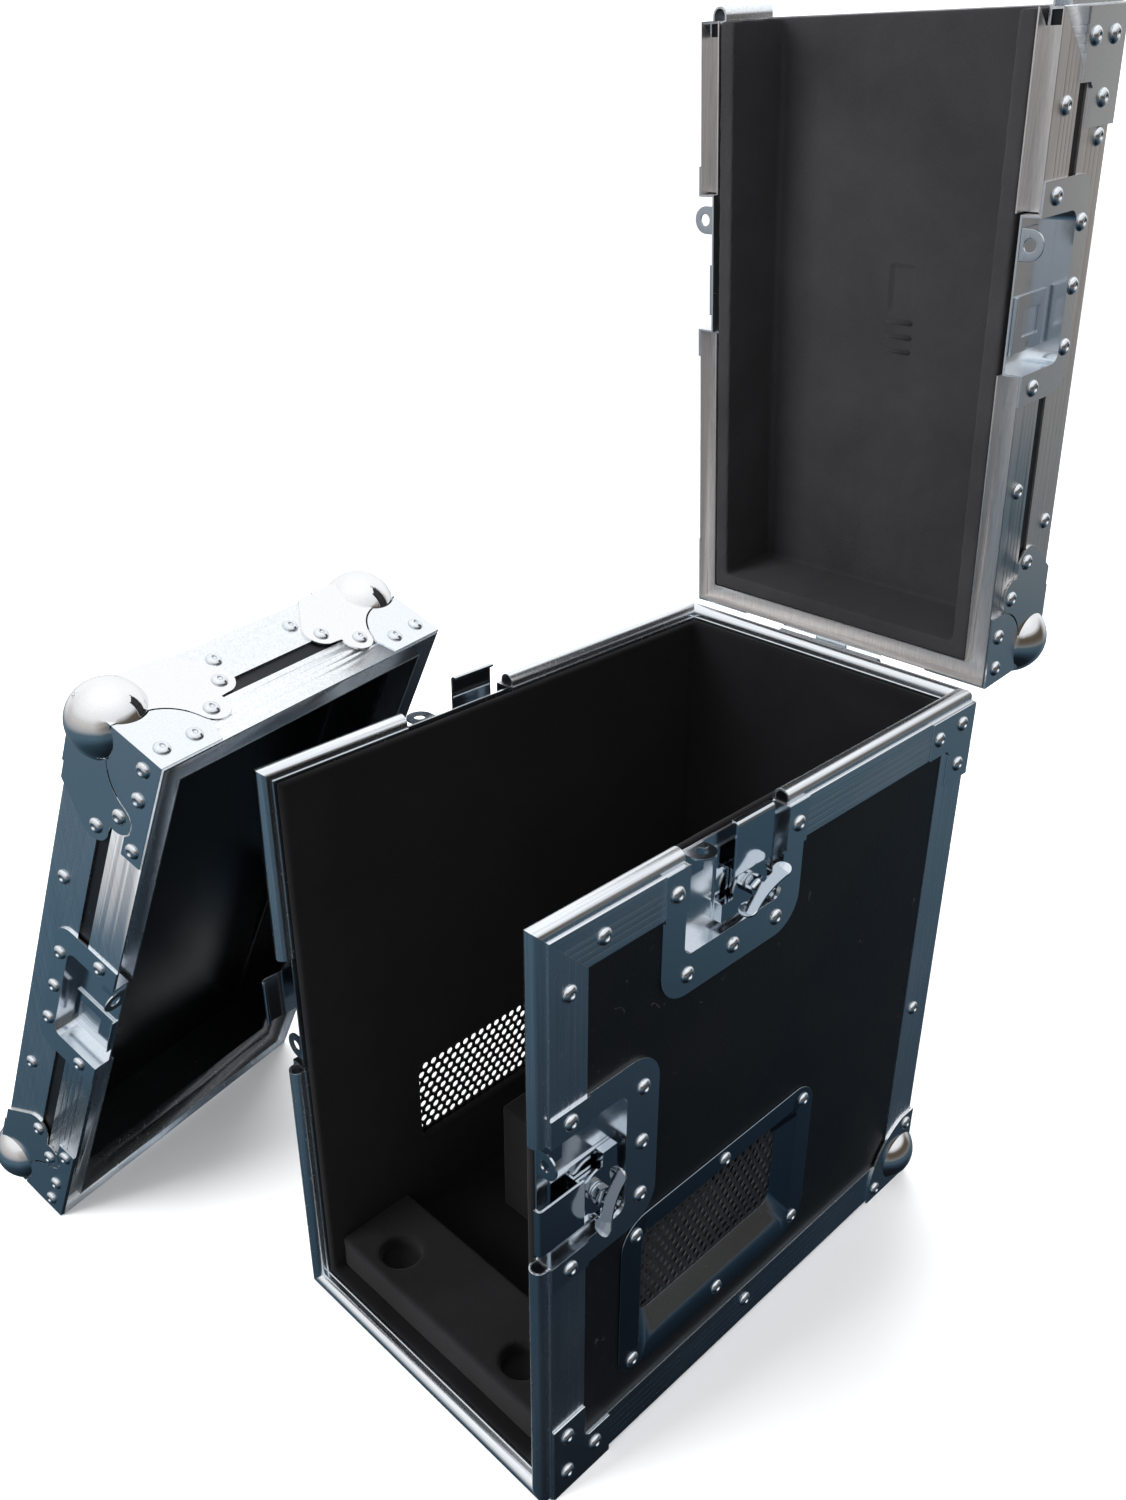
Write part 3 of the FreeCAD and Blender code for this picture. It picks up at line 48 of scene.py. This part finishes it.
# marks on the lid's foam, in millimetres of the closed lid
LID_SHEET_Z = 422.2
SLOT_X = 5.0
SLOT_HALF = 8.0
SLOT_Y = (-47.0, -22.0)
SLOT_DEEP = 1.6
RIDGE_SIZE = (19.0, 3.2, 3.0)
RIDGE_START = 7.0
RIDGE_STEP = 8.5
RIDGE_ROUND = 1.1
RIDGES = 3


# ---------------------------------------------------------------- node helpers
class Shader:
    """A small wrapper that builds one node material."""

    def __init__(self, name):
        self.material = bpy.data.materials.new(name)
        self.material.use_nodes = True
        self.tree = self.material.node_tree
        self.bsdf = self.tree.nodes["Principled BSDF"]

    def node(self, kind, **sockets):
        """Adds a node and sets its sockets by name (spaces as underscores)."""
        made = self.tree.nodes.new(kind)
        for key, value in sockets.items():
            made.inputs[key.replace("_", " ")].default_value = value
        return made

    def link(self, start, end):
        self.tree.links.new(start, end)

    def coords(self, scale=(1, 1, 1), turn=(0, 0, 0)):
        """Object coordinates, turned and stretched."""
        source = self.tree.nodes.new("ShaderNodeTexCoord")
        turned = self.tree.nodes.new("ShaderNodeMapping")
        turned.inputs["Rotation"].default_value = turn
        self.link(source.outputs["Object"], turned.inputs["Vector"])
        stretched = self.tree.nodes.new("ShaderNodeMapping")
        stretched.inputs["Scale"].default_value = scale
        self.link(turned.outputs["Vector"], stretched.inputs["Vector"])
        return stretched.outputs["Vector"]

    def noise(self, vector, scale, detail=4.0, rough=0.55, distortion=0.0):
        made = self.node("ShaderNodeTexNoise", Scale=scale, Detail=detail, Roughness=rough,
                         Distortion=distortion)
        self.link(vector, made.inputs["Vector"])
        return made.outputs["Fac"]

    def ramp(self, value, stops):
        """Colour ramp from (position, grey or colour) stops."""
        made = self.tree.nodes.new("ShaderNodeValToRGB")
        elements = made.color_ramp.elements
        while len(elements) < len(stops):
            elements.new(0.5)
        for element, (place, shade) in zip(elements, stops):
            element.position = place
            colour = shade if isinstance(shade, tuple) else (shade, shade, shade)
            element.color = (*colour, 1.0)
        self.link(value, made.inputs["Fac"])
        return made.outputs["Color"]

    def mix(self, factor, first, second, mode="MIX"):
        """Mixes colours. Each argument is a socket, a number or a colour."""
        made = self.tree.nodes.new("ShaderNodeMix")
        made.data_type = "RGBA"
        made.blend_type = mode
        for socket, value in ((made.inputs[0], factor), (made.inputs[6], first), (made.inputs[7], second)):
            if hasattr(value, "node"):
                self.link(value, socket)
            elif socket == made.inputs[0]:
                socket.default_value = value
            else:
                colour = value if isinstance(value, tuple) else (value, value, value)
                socket.default_value = (*colour, 1.0)
        return made.outputs[2]

    def bump(self, height, strength, distance, after=None):
        made = self.node("ShaderNodeBump", Strength=strength, Distance=distance)
        self.link(height, made.inputs["Height"])
        if after is not None:
            self.link(after, made.inputs["Normal"])
        return made.outputs["Normal"]

    def finish(self, **sockets):
        """Sets or links the shader's own sockets."""
        for key, value in sockets.items():
            socket = self.bsdf.inputs[key.replace("_", " ")]
            if hasattr(value, "node"):
                self.link(value, socket)
            else:
                socket.default_value = value
        return self.material


def shade(colour, factor):
    """A lighter or darker copy of a colour."""
    return tuple(min(1.0, c * factor) for c in colour)


def metal(name, base, rough, along=None, grain=0.25, smudge=0.12, scuffs=0.3):
    """Metal with drawn streaks along one axis, uneven gloss and a few hairline scuffs."""
    s = Shader(name)
    stretch = {None: (1, 1, 1), "x": (0.012, 1, 1), "y": (1, 0.012, 1), "z": (1, 1, 0.012)}[along]
    streaks = s.noise(s.coords(stretch), 900.0, 4.0, 0.65)
    broad = s.noise(s.coords(), 9.0, 4.0, 0.5, 0.3)
    hairs = s.noise(s.coords((0.15, 1.6, 0.5), (0.4, 0.7, 0.3)), 420.0, 2.0, 0.5, 0.8)
    hair_mask = s.mix(s.ramp(hairs, [(0.70, 0.0), (0.74, 1.0)]), 0.0, scuffs)
    streak_mask = s.ramp(streaks, [(0.3, 0.0), (0.7, 1.0)])
    colour = s.mix(streak_mask, shade(base, 1.0 - smudge), shade(base, 1.0 + smudge))
    colour = s.mix(hair_mask, colour, shade(base, 0.75))
    level = s.ramp(broad, [(0.3, rough * 0.8), (0.7, rough * 1.2)])
    rough_map = s.mix(hair_mask, level, min(1.0, rough + 0.25))
    normal = s.bump(streaks, grain, 0.00004)
    return s.finish(Base_Color=colour, Roughness=rough_map, Metallic=1.0, Normal=normal)


def foam(name, dark, light):
    """Closed-cell foam: open fine cells, faint mottling and a dusty nap."""
    s = Shader(name)
    place = s.coords()
    cells = s.node("ShaderNodeTexVoronoi", Scale=900.0)
    s.link(place, cells.inputs["Vector"])
    broad = s.noise(place, 11.0, 6.0, 0.6, 0.3)
    grit = s.noise(place, 1900.0, 3.0, 0.7)
    colour = s.mix(s.ramp(broad, [(0.3, 0.0), (0.72, 1.0)]), dark, light)
    speck = s.ramp(grit, [(0.35, 0.0), (0.75, 1.0)])
    colour = s.mix(s.mix(speck, 0.0, 0.35), colour, shade(light, 1.5))
    normal = s.bump(cells.outputs["Distance"], 0.35, 0.0004)
    normal = s.bump(broad, 0.12, 0.003, normal)
    rough = s.ramp(grit, [(0.2, 0.86), (0.8, 0.98)])
    return s.finish(Base_Color=colour, Roughness=rough, Normal=normal, Specular_IOR_Level=0.1,
                    Sheen_Weight=0.04, Sheen_Roughness=0.5)


def laminate(name, base, rough, level=0.4):
    """Black laminate: pebbled film, rubbed patches and pale scuff lines."""
    s = Shader(name)
    place = s.coords()
    pebble = s.node("ShaderNodeTexVoronoi", Scale=750.0)
    s.link(place, pebble.inputs["Vector"])
    broad = s.noise(place, 9.0, 5.0, 0.6, 0.2)
    lines = s.noise(s.coords((0.08, 1.2, 0.8), (0.2, 0.5, 0.9)), 210.0, 2.0, 0.5, 1.2)
    mask = s.ramp(lines, [(0.7, 0.0), (0.76, 1.0)])
    colour = s.mix(s.ramp(broad, [(0.3, 0.0), (0.75, 1.0)]), base, shade(base, 1.7))
    colour = s.mix(s.mix(mask, 0.0, 0.35), colour, (0.06, 0.065, 0.07))
    rough_map = s.ramp(broad, [(0.3, rough * 0.8), (0.7, min(1.0, rough * 1.25))])
    normal = s.bump(pebble.outputs["Distance"], 0.25, 0.0003)
    return s.finish(Base_Color=colour, Roughness=rough_map, Normal=normal, Specular_IOR_Level=level)


def floor_paint(name):
    """Matt white floor with a little light of its own, so that it stays white far away."""
    s = Shader(name)
    place = s.coords()
    broad = s.noise(place, 2.5, 4.0, 0.5)
    grit = s.noise(place, 180.0, 3.0, 0.6)
    colour = s.mix(s.ramp(broad, [(0.3, 0.0), (0.7, 1.0)]), (0.86, 0.87, 0.88), (0.90, 0.90, 0.905))
    normal = s.bump(grit, 0.03, 0.0005)
    return s.finish(Base_Color=colour, Roughness=0.75, Normal=normal, Specular_IOR_Level=0.2,
                    Emission_Color=(1.0, 1.0, 1.0, 1.0), Emission_Strength=0.12)


# ---------------------------------------------------------------- materials
# Pale metal grey with a blue cast. The blue cast is painted reflection of the blue-grey surroundings, and the
# bluish plate, rivet and steel colours below carry the same painted blue cast.
TINT = (0.78, 0.82, 0.86)
ALU = {axis: metal("extrusion_" + axis, TINT, 0.25, axis, grain=0.3, smudge=0.14) for axis in "xyz"}
PLATE = metal("zinc_plate", (0.76, 0.80, 0.84), 0.19, None, grain=0.08, smudge=0.05)
# Darker base for the polished latch, keeper and pin parts: painted shade standing in for the shade inside the
# latch recesses.
BRIGHT_SHADED = metal("bright_plate_shaded", (0.60, 0.65, 0.70), 0.09, None, grain=0.04, smudge=0.04, scuffs=0.15)
BALL = metal("ball_nickel", (0.80, 0.81, 0.82), 0.035, None, grain=0.03, smudge=0.03, scuffs=0.12)
RIVET = metal("rivet_steel", (0.72, 0.76, 0.80), 0.17, None, grain=0.08, smudge=0.08)
DARK_STEEL = metal("dark_steel", (0.26, 0.31, 0.36), 0.2, None, grain=0.1, smudge=0.1)
# Warm copy of the extrusion colour for the lid's rim rails and angles: the warm cast is painted reflection of
# the warm surroundings on the right.
LID_RAIL = metal("lid_extrusion", (0.82, 0.80, 0.79), 0.36, "z", grain=0.3, smudge=0.12)
# Darker, bluer copy of the extrusion colour for the bottom angles: painted shade near the floor.
SHADED_LOW_ANGLE = metal("low_angle_painted_shade", (0.50, 0.56, 0.62), 0.25, "y", grain=0.3, smudge=0.14)
FOAM_BODY = foam("foam_body", (0.0030, 0.0030, 0.0033), (0.0065, 0.0065, 0.0075))
FOAM_LID = foam("foam_lid", (0.014, 0.014, 0.0155), (0.026, 0.0255, 0.028))
COVER_FILM = laminate("lining_cover", (0.0015, 0.0015, 0.0018), 0.2, 0.35)
FOAM_BLOCK = foam("foam_blocks", (0.006, 0.006, 0.0065), (0.012, 0.012, 0.013))
PLY = laminate("black_ply", (0.003, 0.0035, 0.0045), 0.4, 0.3)
MESH = laminate("black_mesh", (0.012, 0.012, 0.013), 0.35, 0.5)
FLOOR = floor_paint("floor_paint")


def paint(obj, material):
    obj.data.materials.clear()
    obj.data.materials.append(material)


def refine(obj, width):
    """Welds the imported mesh and rounds its sharp edges, so that they catch the light."""
    weld = obj.modifiers.new("weld", "WELD")
    weld.merge_threshold = WELD_DISTANCE
    if width > 0:
        bevel = obj.modifiers.new("bevel", "BEVEL")
        bevel.width = width
        bevel.segments = 2
        bevel.limit_method = "ANGLE"
        bevel.angle_limit = math.radians(32.0)
        bevel.harden_normals = False
        bevel.use_clamp_overlap = True
    for polygon in obj.data.polygons:
        polygon.use_smooth = True
    normals = obj.modifiers.new("smooth", "WEIGHTED_NORMAL")
    normals.keep_sharp = False


# material, edge rounding in millimetres, and the nodes that have them
FINISHES = [
    (PLY, 0.4, ["panel_right", "panel_left", "panel_back", "panel_bottom", "lid_panel_top", "lid_walls",
                "cover_panel_face", "cover_walls"]),
    (ALU["x"], 0.15, ["rail_top_back", "rail_front_bottom", "lid_front_rails"]),
    (ALU["y"], 0.15, ["rail_top_right", "rail_top_left"]),
    (ALU["z"], 0.15, ["rail_front_right", "rail_front_left", "angles_rear", "cover_rim_rails", "cover_angles"]),
    (ALU["x"], 0.3, ["hinge_leaf_body", "hinge_leaf_lid"]),
    (SHADED_LOW_ANGLE, 0.15, ["angles_bottom"]),
    (LID_RAIL, 0.2, ["lid_rim_rails", "lid_angles"]),
    (DARK_STEEL, 0.4, ["vent_dishes"]),
    (MESH, 0.12, ["vent_meshes"]),
    (PLATE, 0.35, ["latch_dishes_top", "latch_dishes_front", "lid_keeper_dishes", "cover_keeper_dishes",
                   "plates_front_bottom", "plates_rear_top", "lid_corner_plates", "cover_corner_plates"]),
    (BRIGHT_SHADED, 0.3, ["latch_frames", "hinge_pin"]),
    (BRIGHT_SHADED, 0.25, ["lid_keepers", "cover_keepers"]),
    (BRIGHT_SHADED, 0.2, [name for name in NODES if name.startswith(("latch_hook", "latch_spindle", "latch_wing"))]),
    (BALL, 0.35, ["ball_corners_body", "lid_ball_corners", "cover_ball_corners"]),
    (RIVET, 0.0, ["rivets_body", "lid_rivets", "cover_rivets"]),
]
for material, bevel_mm, names in FINISHES:
    for name in names:
        paint(NODES[name], material)
        refine(NODES[name], bevel_mm * MM)


# ---------------------------------------------------------------- foam pieces
def lid_point(x, y, z):
    """A point of the closed lid, in millimetres, where the open lid has it."""
    closed = Vector((x * MM, y * MM, z * MM)) - HINGE
    return HINGE + Matrix.Rotation(-LID_OPEN, 3, "X") @ closed


def foam_copy(node, body, material, voxel, depth, carve=None, extra=None):
    """A foam piece made from a CAD node's space: softened edges and a hand-cut, slightly uneven face.
    carve gives a further push for a place and its normal, and extra adds to the finished mesh."""
    mesh = NODES[node].data.copy()
    piece = bpy.data.objects.new(node + "_foam", mesh)
    bpy.context.scene.collection.objects.link(piece)
    weld = piece.modifiers.new("weld", "WELD")
    weld.merge_threshold = WELD_DISTANCE
    remesh = piece.modifiers.new("remesh", "REMESH")
    remesh.mode = "VOXEL"
    remesh.voxel_size = voxel
    remesh.adaptivity = 0.0
    evaluated = piece.evaluated_get(bpy.context.evaluated_depsgraph_get())
    solid = bpy.data.meshes.new_from_object(evaluated)
    piece.modifiers.clear()
    piece.data = solid
    bm = bmesh.new()
    bm.from_mesh(solid)
    bmesh.ops.smooth_vert(bm, verts=bm.verts, factor=0.5, use_axis_x=True, use_axis_y=True, use_axis_z=True)
    bm.normal_update()
    for vert in bm.verts:
        where = vert.co
        wave = noise.noise(where * 28.0) * 0.6 + noise.noise(where * 90.0) * 0.25
        push = -abs(wave) * depth
        if carve is not None:
            push += carve(where, vert.normal)
        vert.co = where + vert.normal * push
    if extra is not None:
        extra(bm)
    bm.to_mesh(solid)
    bm.free()
    for polygon in solid.polygons:
        polygon.use_smooth = True
    paint(piece, material)
    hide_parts(node)
    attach(piece, body)


def lid_marks(where, normal):
    """Shallow slot pressed into the lid's top foam."""
    closed = LID_BACK @ (where - HINGE) + HINGE
    if (LID_BACK @ normal).z > -0.7 or closed.z < 0.41:
        return 0.0
    x, y = closed.x / MM, closed.y / MM
    inside = abs(x - SLOT_X) < SLOT_HALF and SLOT_Y[0] < y < SLOT_Y[1]
    return -SLOT_DEEP * MM if inside else 0.0


def lid_ridges(bm):
    """Three short rounded ridges below the slot."""
    for row in range(RIDGES):
        centre = SLOT_Y[1] + RIDGE_START + row * RIDGE_STEP
        bar = bmesh.ops.create_cube(bm, size=1.0)["verts"]
        for vert in bar:
            x, y, z = (vert.co[i] * RIDGE_SIZE[i] for i in range(3))
            vert.co = lid_point(SLOT_X + x, centre + y, LID_SHEET_Z + z)
        edges = list({edge for vert in bar for edge in vert.link_edges})
        bmesh.ops.bevel(bm, geom=edges, offset=RIDGE_ROUND * MM, segments=3, affect="EDGES")


foam_copy("lining_body", "case", FOAM_BODY, 0.0022, 0.0004)
foam_copy("foam_block_front", "case", FOAM_BLOCK, 0.0014, 0.0005)
foam_copy("foam_block_rear", "case", FOAM_BLOCK, 0.0016, 0.0005)
foam_copy("lid_lining", "lid", FOAM_LID, 0.0014, 0.0004, lid_marks, lid_ridges)
foam_copy("cover_lining", "cover", COVER_FILM, 0.0013, 0.00005)


# ---------------------------------------------------------------- stage
def link_mesh(name, bm, material):
    """Turns a finished bmesh into a stage object."""
    mesh = bpy.data.meshes.new(name)
    bm.to_mesh(mesh)
    bm.free()
    for polygon in mesh.polygons:
        polygon.use_smooth = True
    made = bpy.data.objects.new(name, mesh)
    bpy.context.scene.collection.objects.link(made)
    paint(made, material)
    return made


def make_floor():
    """A large pale floor. Metal sees the studio's dark lower half instead of it."""
    bm = bmesh.new()
    bmesh.ops.create_grid(bm, x_segments=24, y_segments=24, size=FLOOR_HALF)
    floor = link_mesh("floor", bm, FLOOR)
    floor.visible_glossy = False


def make_sweep():
    """White studio sweep round the floor, there only to be seen behind the object."""
    white = Shader("sweep_white").finish(Base_Color=(0.9, 0.9, 0.9, 1.0), Roughness=0.9,
                                         Emission_Color=(1.0, 1.0, 1.0, 1.0), Emission_Strength=1.0)
    bm = bmesh.new()
    bmesh.ops.create_uvsphere(bm, u_segments=64, v_segments=32, radius=FLOOR_HALF * 0.98)
    low = [v for v in bm.verts if v.co.z < -0.9]
    bmesh.ops.delete(bm, geom=low, context="VERTS")
    sweep = link_mesh("sweep", bm, white)
    sweep.visible_diffuse = False
    sweep.visible_glossy = False
    sweep.visible_shadow = False


def area_light(name, place, target, side, energy):
    """Square soft light that lights the scene but isn't mirrored in the metal."""
    data = bpy.data.lights.new(name, "AREA")
    data.shape = "RECTANGLE"
    data.size = side
    data.size_y = side
    data.energy = energy
    light = bpy.data.objects.new(name, data)
    light.location = place
    light.rotation_euler = (Vector(target) - Vector(place)).to_track_quat("-Z", "Y").to_euler()
    light.visible_glossy = False
    bpy.context.scene.collection.objects.link(light)


# surround colours by height, from straight down (-1) to straight up (1)
RIGHT_STOPS = [(-1.0, (0.006, 0.008, 0.010)), (-0.78, (0.010, 0.014, 0.020)), (-0.64, (0.024, 0.042, 0.062)),
               (-0.5, (0.050, 0.088, 0.120)), (-0.36, (0.070, 0.110, 0.140)), (-0.26, (0.19, 0.20, 0.205)),
               (-0.12, (0.13, 0.11, 0.09)), (0.02, (0.10, 0.08, 0.06)), (0.16, (0.13, 0.11, 0.09)),
               (0.36, (0.90, 0.90, 0.92)), (1.0, (1.3, 1.3, 1.3))]
FRONT_STOPS = [(-1.0, (0.008, 0.012, 0.016)), (-0.72, (0.030, 0.055, 0.080)), (-0.5, (0.080, 0.140, 0.190)),
               (-0.36, (0.100, 0.150, 0.195)), (-0.2, (0.42, 0.43, 0.45)), (0.0, (0.62, 0.59, 0.58)),
               (0.15, (0.70, 0.69, 0.68)), (0.36, (0.95, 0.95, 0.95)), (1.0, (1.3, 1.3, 1.3))]
AWAY_STOPS = [(-1.0, (0.010, 0.018, 0.025)), (-0.3, (0.160, 0.210, 0.250)), (-0.05, (0.95, 0.96, 0.97)),
              (0.2, (1.12, 1.12, 1.12)), (1.0, (1.25, 1.25, 1.25))]
DIAGONAL = 0.707


def make_world():
    """Studio surround: white overhead and behind, blue-grey below, warmer and darker on the right."""
    world = bpy.data.worlds.new("studio")
    bpy.context.scene.world = world
    world.use_nodes = True
    tree = world.node_tree
    coords = tree.nodes.new("ShaderNodeTexCoord")
    split = tree.nodes.new("ShaderNodeSeparateXYZ")
    tree.links.new(coords.outputs["Generated"], split.inputs[0])

    def height_ramp(stops):
        shifted = tree.nodes.new("ShaderNodeMapRange")
        shifted.inputs["From Min"].default_value = -1.0
        tree.links.new(split.outputs["Z"], shifted.inputs["Value"])
        ramp = tree.nodes.new("ShaderNodeValToRGB")
        elements = ramp.color_ramp.elements
        while len(elements) < len(stops):
            elements.new(0.5)
        for element, (height, colour) in zip(elements, stops):
            element.position = (height + 1.0) / 2.0
            element.color = (*colour, 1.0)
        tree.links.new(shifted.outputs["Result"], ramp.inputs["Fac"])
        return ramp.outputs["Color"]

    def side_factor(direction, low, high):
        dot = tree.nodes.new("ShaderNodeVectorMath")
        dot.operation = "DOT_PRODUCT"
        dot.inputs[1].default_value = direction
        tree.links.new(coords.outputs["Generated"], dot.inputs[0])
        eased = tree.nodes.new("ShaderNodeMapRange")
        eased.interpolation_type = "SMOOTHSTEP"
        eased.inputs["From Min"].default_value = low
        eased.inputs["From Max"].default_value = high
        tree.links.new(dot.outputs["Value"], eased.inputs["Value"])
        return eased.outputs["Result"]

    def blend(factor, first, second):
        made = tree.nodes.new("ShaderNodeMix")
        made.data_type = "RGBA"
        tree.links.new(factor, made.inputs[0])
        tree.links.new(first, made.inputs[6])
        tree.links.new(second, made.inputs[7])
        return made.outputs[2]

    right_side = side_factor((DIAGONAL, DIAGONAL, 0.0), -0.45, 0.35)
    far_side = side_factor((-DIAGONAL, DIAGONAL, 0.0), 0.15, 0.75)
    colour = blend(right_side, height_ramp(FRONT_STOPS), height_ramp(RIGHT_STOPS))
    colour = blend(far_side, colour, height_ramp(AWAY_STOPS))
    back = tree.nodes["Background"]
    tree.links.new(colour, back.inputs["Color"])
    back.inputs["Strength"].default_value = 1.0


def make_camera():
    """The camera looks from about 45 degrees right of the front and 27 degrees down."""
    data = bpy.data.cameras.new("camera")
    data.sensor_width = 36.0
    data.lens = 31.27
    camera = bpy.data.objects.new("camera", data)
    camera.location = (0.4397, -0.4971, 0.6978)
    camera.rotation_euler = Euler((math.radians(90.0 - 26.72), 0.0, math.radians(45.16)))
    bpy.context.scene.collection.objects.link(camera)
    bpy.context.scene.camera = camera


make_floor()
make_world()
make_sweep()
area_light("key", (-1.5, 1.3, 1.9), (0, 0, 0.2), 2.2, 60.0)
area_light("front", (-1.0, -2.6, 1.5), (0, 0.1, 0.5), 1.4, 110.0)
make_camera()
bpy.context.scene.view_settings.view_transform = "Standard"
